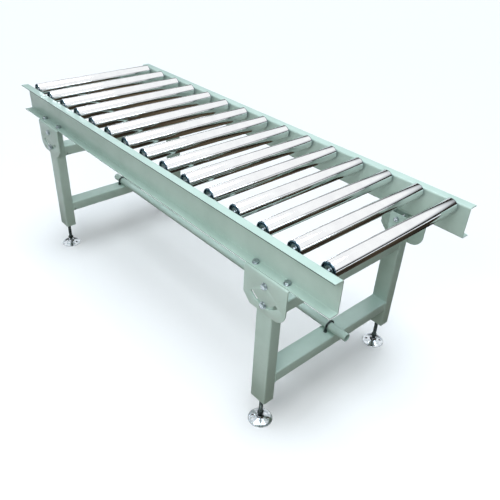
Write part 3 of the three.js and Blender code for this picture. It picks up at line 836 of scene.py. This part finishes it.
tie_low, tie_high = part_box("tie_tube")
tie_height = (tie_low.z + tie_high.z) / 2
tie_radius = (tie_high.z - tie_low.z) / 2
TIE_SHEET = mm(3)
bore = tie_radius - TIE_SHEET
bm = lathe([(bore, tie_low.x), (tie_radius - EDGE_BREAK, tie_low.x), (tie_radius, tie_low.x + EDGE_BREAK),
            (tie_radius, tie_high.x - EDGE_BREAK), (tie_radius - EDGE_BREAK, tie_high.x),
            (bore, tie_high.x)], 48, closed=True)
bm.transform(Matrix.Rotation(math.pi / 2, 4, "Y"))
bm.transform(Matrix.Translation((0, 0, tie_height)))
to_piece("round_tie_tube", mesh_of(bm, "tie"), sage_enamel, "tie_tube", "green_paint", "tie_tube")

oiled_steel = steel_material("oiled_dark_steel", "#56605F", "#23292B", 0.30, 0.50, mm(8))
U_ROD = mm(4)
U_GAP = mm(0.5)
U_NUT_FLATS = mm(13)
U_NUT_HEIGHT = mm(6.5)
U_NUT_GAP = mm(0.3)
U_PITCH = mm(1.25)


def bent_rod(points, radius, steps=16):
    """A round rod along a path in the YZ plane, closed at both ends."""
    bm = bmesh.new()
    loops = []
    for i, point in enumerate(points):
        along = (points[min(i + 1, len(points) - 1)] - points[max(i - 1, 0)]).normalized()
        out = along.cross(Vector((1, 0, 0)))
        loops.append([bm.verts.new(point + out * a + Vector((b, 0, 0))) for a, b in circle(radius, steps)])
    return skin(bm, loops)


for place, sign in (("front", 1), ("back", -1)):
    low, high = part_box(f"u_bolt_{place}")
    stand_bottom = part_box(f"stand_{place}")[0].z
    x = (low.x + high.x) / 2
    bend = tie_radius + U_GAP + U_ROD
    crossbar_low = stand_bottom + LOWER_CROSSBAR_RISE
    crossbar_top = crossbar_low + CROSSBAR_HEIGHT
    arc = [Vector((x, -bend * math.cos(math.pi * i / 20), tie_height + bend * math.sin(math.pi * i / 20)))
           for i in range(21)]
    path = [Vector((x, -bend, crossbar_low)), *arc, Vector((x, bend, crossbar_low))]
    parts = [bent_rod(path, U_ROD)]
    for side in (-1, 1):
        for base in (crossbar_top + U_NUT_GAP, crossbar_low - U_NUT_GAP - U_NUT_HEIGHT):
            nut = hexagon_block(U_NUT_FLATS, base, base + U_NUT_HEIGHT, U_ROD)
            nut.transform(Matrix.Translation((x, side * bend, 0)))
            parts.append(nut)
        tail = threaded_rod(U_ROD, low.z, crossbar_low, U_PITCH)
        tail.transform(Matrix.Translation((x, side * bend, 0)))
        parts.append(tail)
    to_piece(f"bent_u_bolt_{place}", mesh_of(joined(*parts), "u_bolt"), oiled_steel, f"stand_{place}",
             "dark_steel", f"u_bolt_{place}")
    saddle = plate("saddle", rounded_box(mm(10), 2 * bend - mm(18), mm(2)), [],
                   tie_height - tie_radius - U_GAP - crossbar_top, mm(0.3))
    saddle.transform(Matrix.Translation((x, 0, (tie_height - tie_radius - U_GAP + crossbar_top) / 2)))
    to_piece(f"tie_saddle_{place}", mesh_of(saddle, "saddle"), sage_enamel, f"stand_{place}", "green_paint")

# ---- Levelling feet ----------------------------------------------------------------------------------
# A bright plated pressed pad with a raised hub and two lag holes, on a ball-ended dark steel stud that
# screws up into the plate in the leg's foot.

plated_pad = steel_material("bright_plated_pressing", "#E9EFF4", "#B4C0C8", 0.10, 0.24, mm(14))
PAD_RIM = mm(3)
PAD_DOME = mm(12)
HUB_RADIUS = mm(15.5)
NECK_RADIUS = mm(5)
BALL_RADIUS = mm(8)
BALL_HEIGHT = mm(13)
LAG_HOLE = mm(5)
LAG_PLACE = mm(30)
STUD_HEX = mm(22)
STUD_PITCH = mm(2)
PAD_TURN = math.radians(38)
SOCKET_GAP = mm(0.8)

for place in ("front", "back"):
    for edge in ("near", "far"):
        corner = f"{place}_{edge}"
        pad_low, pad_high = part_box(f"foot_pad_{corner}")
        low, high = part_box(f"foot_stud_{corner}")
        x = (pad_low.x + pad_high.x) / 2
        y = (low.y + high.y) / 2
        rim = (pad_high.y - pad_low.y) / 2
        top = pad_high.z
        mouth = NECK_RADIUS + mm(2)
        profile = [(0, 0), (rim - mm(1), 0), (rim, mm(1)), (rim, PAD_RIM - mm(1)), (rim - mm(1), PAD_RIM),
                   (rim - mm(5), PAD_RIM + mm(0.6)), (rim - mm(12), PAD_RIM + mm(2.6)),
                   (rim - mm(20), PAD_DOME - mm(3)), (HUB_RADIUS + mm(3), PAD_DOME - mm(0.8)),
                   (HUB_RADIUS, PAD_DOME + mm(0.5)), (HUB_RADIUS - mm(1.2), top - mm(2)),
                   (HUB_RADIUS - mm(2.4), top), (mouth + mm(1), top), (mouth, top - mm(1.5)),
                   (BALL_RADIUS + SOCKET_GAP, BALL_HEIGHT + mm(1)),
                   (BALL_RADIUS + SOCKET_GAP, BALL_HEIGHT - mm(2)), (mm(5), BALL_HEIGHT - mm(7)),
                   (0, mm(4.4))]
        pad_mesh = mesh_of(lathe(profile, 64), "pad")
        drills = []
        for across_pad in (-1, 1):
            drill = lathe([(0, -mm(2)), (LAG_HOLE, -mm(2)), (LAG_HOLE, mm(30)), (0, mm(30))], 24)
            drill.transform(Matrix.Translation((across_pad * LAG_PLACE, 0, 0)))
            drills.append(drill)
        drill_mesh = mesh_of(joined(*drills), "drills")
        pad_mesh = cut(pad_mesh, drill_mesh)
        pad_mesh.transform(Matrix.Translation((x, y, 0)) @ Matrix.Rotation(PAD_TURN, 4, "Z"))
        to_piece(f"pressed_pad_{corner}", pad_mesh, plated_pad, f"foot_pad_{corner}", "pad_chrome",
                 f"foot_pad_{corner}")
        angles = [math.pi * i / 12 for i in range(9)]
        ball = [(BALL_RADIUS * math.sin(t), BALL_HEIGHT - BALL_RADIUS * math.cos(t)) for t in angles]
        hex_low = top + mm(8)
        hex_high = hex_low + mm(12)
        neck = lathe([*ball, (NECK_RADIUS, ball[-1][1] + mm(2)), (NECK_RADIUS, hex_low + mm(1)),
                      (0, hex_low + mm(1))], 32)
        rod = threaded_rod(STUD_RADIUS, hex_high - mm(1), high.z, STUD_PITCH)
        grip = hexagon_block(STUD_HEX, hex_low, hex_high)
        for part in (neck, rod, grip):
            part.transform(Matrix.Translation((x, y, 0)))
        to_piece(f"ball_stud_{corner}", mesh_of(joined(neck, rod, grip), "stud"), oiled_steel,
                 f"foot_stud_{corner}", "dark_steel", f"foot_stud_{corner}")
